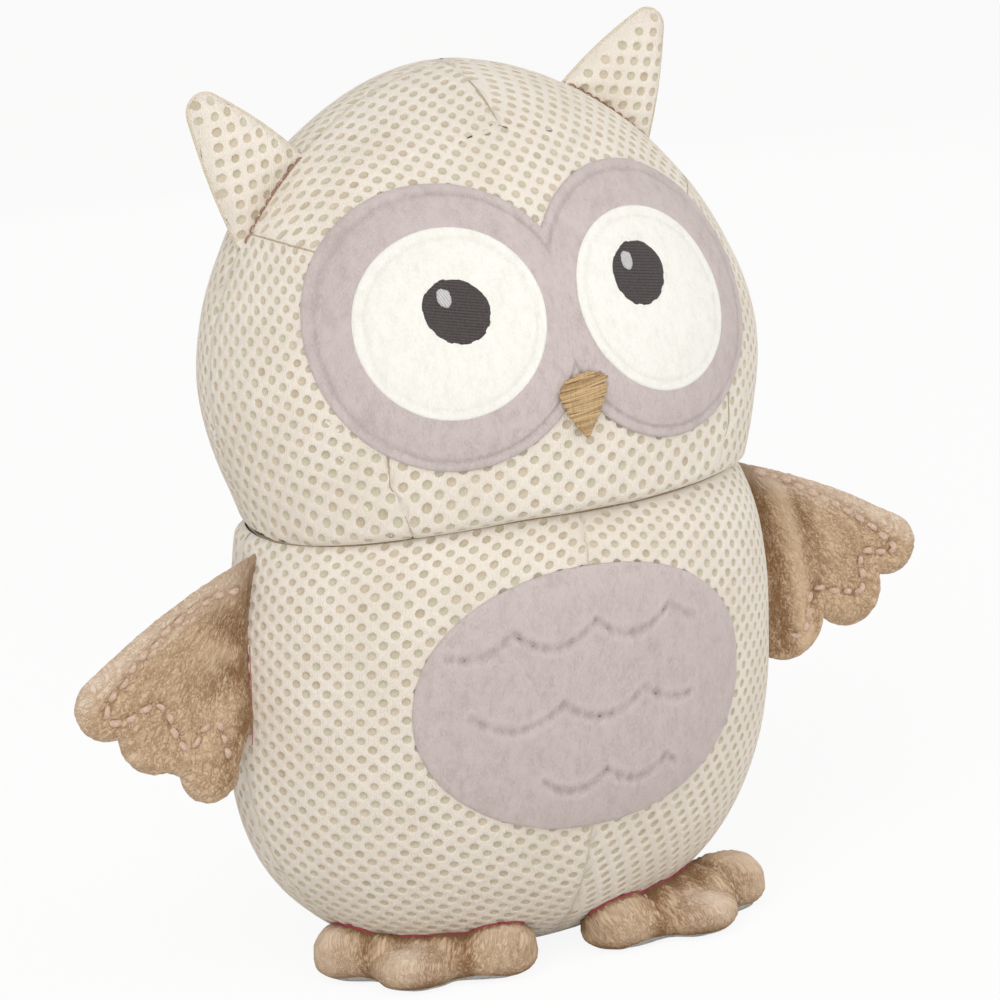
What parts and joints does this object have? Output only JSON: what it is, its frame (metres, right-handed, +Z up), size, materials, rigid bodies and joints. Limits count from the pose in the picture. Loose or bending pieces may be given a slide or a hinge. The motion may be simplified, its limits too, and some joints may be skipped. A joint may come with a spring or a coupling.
{
  "type": "plush owl",
  "caption": "Stuffed owl of holed mesh fabric with a plush face mask and belly patch, soft ears and wings that flap, and feet.",
  "frame": {"origin": "centre of the flat base, on the surface that the owl stands on", "axes": "+Z up; the owl faces -Y, so its left is +X and its right is -X"},
  "size_m": [0.212, 0.1115, 0.2093],
  "materials": {
    "mesh_fabric": "cream spacer mesh with round holes",
    "mauve_plush": "short mauve-grey plush",
    "white_fleece": "white fleece",
    "charcoal_thread": "charcoal embroidery",
    "pale_thread": "pale embroidery",
    "golden_thread": "golden-brown satin stitch",
    "brown_plush": "short brown plush",
    "topstitch_thread": "pale running stitch",
    "feather_thread": "dark mauve stitching",
    "seam_thread": "beige seam thread",
    "crimson_thread": "crimson seam thread",
    "fibre_stuffing": "loose polyester fibre"
  },
  "bodies": {
    "torso": {"head_front_panel": "mesh_fabric", "head_back_panel_left": "mesh_fabric", "head_back_panel_right": "mesh_fabric", "body_front_panel_left": "mesh_fabric", "body_front_panel_right": "mesh_fabric", "body_back_panel_left": "mesh_fabric", "body_back_panel_right": "mesh_fabric", "body_base_panel": "mesh_fabric", "head_stuffing": "fibre_stuffing", "body_stuffing": "fibre_stuffing", "neck_seam_thread": "seam_thread", "face_mask": "mauve_plush", "tummy_patch": "mauve_plush", "beak": "golden_thread", "feather_stitch_upper": "feather_thread", "feather_stitch_middle": "feather_thread", "feather_stitch_lower": "feather_thread", "eye_white_left": "white_fleece", "pupil_left": "charcoal_thread", "eye_highlight_left": "pale_thread", "ear_left_seam_thread": "seam_thread", "foot_left_seam_thread": "crimson_thread", "eye_white_right": "white_fleece", "pupil_right": "charcoal_thread", "eye_highlight_right": "pale_thread", "ear_right_seam_thread": "seam_thread", "foot_right_seam_thread": "crimson_thread"},
    "wing_left": {"wing_left_front_panel": "brown_plush", "wing_left_back_panel": "brown_plush", "wing_left_padding": "fibre_stuffing", "wing_left_topstitching": "topstitch_thread"},
    "wing_right": {"wing_right_front_panel": "brown_plush", "wing_right_back_panel": "brown_plush", "wing_right_padding": "fibre_stuffing", "wing_right_topstitching": "topstitch_thread"},
    "ear_left": {"ear_left_front_panel": "mesh_fabric", "ear_left_back_panel": "mesh_fabric", "ear_left_padding": "fibre_stuffing"},
    "ear_right": {"ear_right_front_panel": "mesh_fabric", "ear_right_back_panel": "mesh_fabric", "ear_right_padding": "fibre_stuffing"},
    "foot_left": {"foot_left_upper": "brown_plush", "foot_left_sole": "brown_plush", "foot_left_stuffing": "fibre_stuffing"},
    "foot_right": {"foot_right_upper": "brown_plush", "foot_right_sole": "brown_plush", "foot_right_stuffing": "fibre_stuffing"}
  },
  "joints": [
    {"name": "wing_left_flap", "type": "hinge", "parent": "torso", "child": "wing_left", "pos_m": [0.06626, -0.01802, 0.0779], "axis": [0, 0, 1], "range_deg": [-35, 35], "stiffness_Nm_per_rad": 0.01},
    {"name": "wing_right_flap", "type": "hinge", "parent": "torso", "child": "wing_right", "pos_m": [-0.06626, -0.01802, 0.0779], "axis": [0, 0, 1], "range_deg": [-35, 35], "stiffness_Nm_per_rad": 0.01},
    {"name": "ear_left_bend", "type": "hinge", "parent": "torso", "child": "ear_left", "pos_m": [0.04063, -0.01324, 0.18798], "axis": [-0.7826, 0, 0.6225], "range_deg": [-20, 20], "stiffness_Nm_per_rad": 0.01},
    {"name": "ear_right_bend", "type": "hinge", "parent": "torso", "child": "ear_right", "pos_m": [-0.04639, -0.01324, 0.18248], "axis": [-0.7009, 0, -0.7133], "range_deg": [-20, 20], "stiffness_Nm_per_rad": 0.01},
    {"name": "foot_left_lift", "type": "hinge", "parent": "torso", "child": "foot_left", "pos_m": [0.03086, -0.03427, 0.0132], "axis": [-0.9724, -0.2334, 0], "range_deg": [0, 15], "stiffness_Nm_per_rad": 0.02},
    {"name": "foot_right_lift", "type": "hinge", "parent": "torso", "child": "foot_right", "pos_m": [-0.03514, -0.02924, 0.0132], "axis": [-0.788, 0.6157, 0], "range_deg": [0, 15], "stiffness_Nm_per_rad": 0.02}
  ]
}
